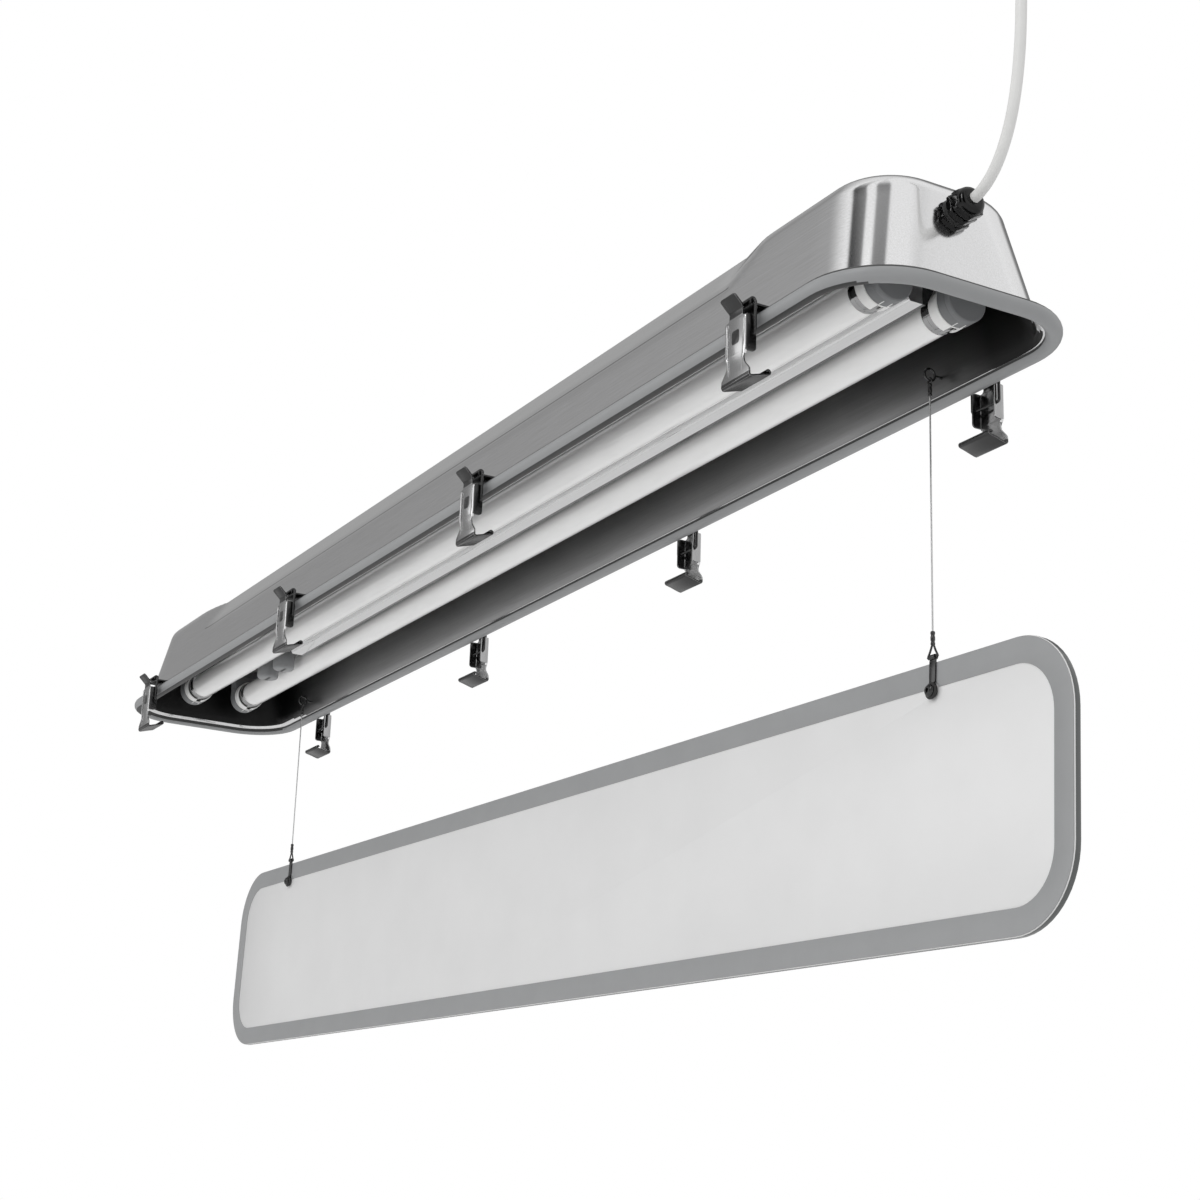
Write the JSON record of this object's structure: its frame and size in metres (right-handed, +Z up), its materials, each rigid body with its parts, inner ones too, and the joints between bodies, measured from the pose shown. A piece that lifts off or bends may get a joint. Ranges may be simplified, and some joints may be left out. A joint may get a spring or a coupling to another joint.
{
  "type": "hanging shop light",
  "caption": "Long drawn stainless trough with fluorescent lamps, its glass cover hanging on edge from safety wires, and clips round the rim.",
  "frame": {"origin": "centre of the housing's flat top, midway between the two mounting holes", "axes": "+X along the light towards its cable end, +Y towards the side whose wall carries the safety wires, +Z up towards the ceiling"},
  "size_m": [1.3685, 0.2144, 0.6035],
  "materials": {
    "housing_steel": "deep-drawn stainless sheet with a satin to polished face",
    "tray_steel": "folded bright sheet, the lamps' reflector",
    "plain_steel": "plain stainless fasteners",
    "clip_steel": "bright stainless spring steel",
    "wire_steel": "thin stainless wire",
    "gland_metal": "bright plated brass",
    "gasket": "round grey sealing bead, matt",
    "rubber": "black rubber, matt",
    "ballast": "grey enamelled lamination stack in its case",
    "capacitor": "white moulded can",
    "white_plastic": "white moulded plastic",
    "grey_plastic": "grey moulded plastic",
    "starter": "grey moulded can",
    "wiring": "insulated single cores",
    "lead_sheath": "white flexible sheath",
    "lamp_glass": "white phosphor seen through the tube",
    "lamp_cap": "bright aluminium",
    "cover_glass": "satin translucent safety glass",
    "cover_band": "grey band fired on the glass"
  },
  "bodies": {
    "housing": {"housing_shell": "housing_steel", "rim_gasket": "gasket", "mount_nuts": "plain_steel", "tray_studs": "plain_steel", "tray_nuts": "plain_steel", "gear_tray": "tray_steel", "ballast_near": "ballast", "ballast_far": "ballast", "capacitor": "capacitor", "terminal_block": "white_plastic", "gear_wiring": "wiring", "lampholders": "grey_plastic", "lampholder_collars": "white_plastic", "starter_sockets": "white_plastic", "gland_washer": "rubber", "gland_body": "gland_metal", "gland_insert": "rubber", "gland_dome_nut": "gland_metal", "gland_locknut": "gland_metal", "supply_tail": "lead_sheath", "supply_lead": "lead_sheath", "lead_cores": "wiring", "clip_anchors": "clip_steel", "wire_eyes": "plain_steel"},
    "lamp_left": {"lamp_left_glass": "lamp_glass", "lamp_left_caps": "lamp_cap", "lamp_left_rotors": "white_plastic"},
    "lamp_right": {"lamp_right_glass": "lamp_glass", "lamp_right_caps": "lamp_cap", "lamp_right_rotors": "white_plastic"},
    "starter_near": {"starter_near": "starter"},
    "starter_far": {"starter_far": "starter"},
    "safety_wires": {"safety_wire_near": "wire_steel", "safety_wire_far": "wire_steel", "wire_links": "wire_steel"},
    "cover": {"cover_glass": "cover_glass", "cover_band": "cover_band", "cover_hangers": "plain_steel", "cover_bolts": "plain_steel", "cover_washers": "rubber", "cover_nuts": "plain_steel"},
    "bail_left_1": {"clip_bail_left_1": "clip_steel"},
    "lever_left_1": {"clip_lever_left_1": "clip_steel"},
    "bail_left_2": {"clip_bail_left_2": "clip_steel"},
    "lever_left_2": {"clip_lever_left_2": "clip_steel"},
    "bail_left_3": {"clip_bail_left_3": "clip_steel"},
    "lever_left_3": {"clip_lever_left_3": "clip_steel"},
    "bail_left_4": {"clip_bail_left_4": "clip_steel"},
    "lever_left_4": {"clip_lever_left_4": "clip_steel"},
    "bail_right_1": {"clip_bail_right_1": "clip_steel"},
    "lever_right_1": {"clip_lever_right_1": "clip_steel"},
    "bail_right_2": {"clip_bail_right_2": "clip_steel"},
    "lever_right_2": {"clip_lever_right_2": "clip_steel"},
    "bail_right_3": {"clip_bail_right_3": "clip_steel"},
    "lever_right_3": {"clip_lever_right_3": "clip_steel"},
    "bail_right_4": {"clip_bail_right_4": "clip_steel"},
    "lever_right_4": {"clip_lever_right_4": "clip_steel"}
  },
  "joints": [
    {"name": "lamp_left_turn", "type": "hinge", "parent": "housing", "child": "lamp_left", "pos_m": [0, -0.0282, -0.063], "axis": [1, 0, 0], "range_deg": [0, 90]},
    {"name": "lamp_right_turn", "type": "hinge", "parent": "housing", "child": "lamp_right", "pos_m": [0, 0.0282, -0.063], "axis": [1, 0, 0], "range_deg": [0, 90]},
    {"name": "starter_near_turn", "type": "hinge", "parent": "housing", "child": "starter_near", "pos_m": [-0.428, 0, -0.06], "axis": [0, 0, 1], "range_deg": [0, 45]},
    {"name": "starter_far_turn", "type": "hinge", "parent": "housing", "child": "starter_far", "pos_m": [-0.47, 0, -0.06], "axis": [0, 0, 1], "range_deg": [0, 45]},
    {"name": "wires_swing", "type": "hinge", "parent": "housing", "child": "safety_wires", "pos_m": [0, 0.0636, -0.0784], "axis": [1, 0, 0], "range_deg": [-20, 20]},
    {"name": "cover_hinge", "type": "hinge", "parent": "safety_wires", "child": "cover", "pos_m": [0, 0.0636, -0.2568], "axis": [-0.9998, 0, 0.0209], "range_deg": [-60, 90]},
    {"name": "bail_left_1_hinge", "type": "hinge", "parent": "housing", "child": "bail_left_1", "pos_m": [-0.548, -0.0945, -0.0748], "axis": [-1, 0, 0], "range_deg": [0, 100]},
    {"name": "lever_left_1_hinge", "type": "hinge", "parent": "bail_left_1", "child": "lever_left_1", "pos_m": [-0.548, -0.0945, -0.0978], "axis": [1, 0, 0], "range_deg": [0, 60]},
    {"name": "bail_left_2_hinge", "type": "hinge", "parent": "housing", "child": "bail_left_2", "pos_m": [-0.18267, -0.0945, -0.0748], "axis": [-1, 0, 0], "range_deg": [0, 100]},
    {"name": "lever_left_2_hinge", "type": "hinge", "parent": "bail_left_2", "child": "lever_left_2", "pos_m": [-0.18267, -0.0945, -0.0978], "axis": [1, 0, 0], "range_deg": [0, 60]},
    {"name": "bail_left_3_hinge", "type": "hinge", "parent": "housing", "child": "bail_left_3", "pos_m": [0.18267, -0.0945, -0.0748], "axis": [-1, 0, 0], "range_deg": [0, 100]},
    {"name": "lever_left_3_hinge", "type": "hinge", "parent": "bail_left_3", "child": "lever_left_3", "pos_m": [0.18267, -0.0945, -0.0978], "axis": [1, 0, 0], "range_deg": [0, 60]},
    {"name": "bail_left_4_hinge", "type": "hinge", "parent": "housing", "child": "bail_left_4", "pos_m": [0.548, -0.0945, -0.0748], "axis": [-1, 0, 0], "range_deg": [0, 100]},
    {"name": "lever_left_4_hinge", "type": "hinge", "parent": "bail_left_4", "child": "lever_left_4", "pos_m": [0.548, -0.0945, -0.0978], "axis": [1, 0, 0], "range_deg": [0, 60]},
    {"name": "bail_right_1_hinge", "type": "hinge", "parent": "housing", "child": "bail_right_1", "pos_m": [-0.548, 0.0945, -0.0748], "axis": [1, 0, 0], "range_deg": [0, 100]},
    {"name": "lever_right_1_hinge", "type": "hinge", "parent": "bail_right_1", "child": "lever_right_1", "pos_m": [-0.548, 0.0945, -0.0978], "axis": [-1, 0, 0], "range_deg": [0, 60]},
    {"name": "bail_right_2_hinge", "type": "hinge", "parent": "housing", "child": "bail_right_2", "pos_m": [-0.18267, 0.0945, -0.0748], "axis": [1, 0, 0], "range_deg": [0, 100]},
    {"name": "lever_right_2_hinge", "type": "hinge", "parent": "bail_right_2", "child": "lever_right_2", "pos_m": [-0.18267, 0.0945, -0.0978], "axis": [-1, 0, 0], "range_deg": [0, 60]},
    {"name": "bail_right_3_hinge", "type": "hinge", "parent": "housing", "child": "bail_right_3", "pos_m": [0.18267, 0.0945, -0.0748], "axis": [1, 0, 0], "range_deg": [0, 100]},
    {"name": "lever_right_3_hinge", "type": "hinge", "parent": "bail_right_3", "child": "lever_right_3", "pos_m": [0.18267, 0.0945, -0.0978], "axis": [-1, 0, 0], "range_deg": [0, 60]},
    {"name": "bail_right_4_hinge", "type": "hinge", "parent": "housing", "child": "bail_right_4", "pos_m": [0.548, 0.0945, -0.0748], "axis": [1, 0, 0], "range_deg": [0, 100]},
    {"name": "lever_right_4_hinge", "type": "hinge", "parent": "bail_right_4", "child": "lever_right_4", "pos_m": [0.548, 0.0945, -0.0978], "axis": [-1, 0, 0], "range_deg": [0, 60]}
  ]
}
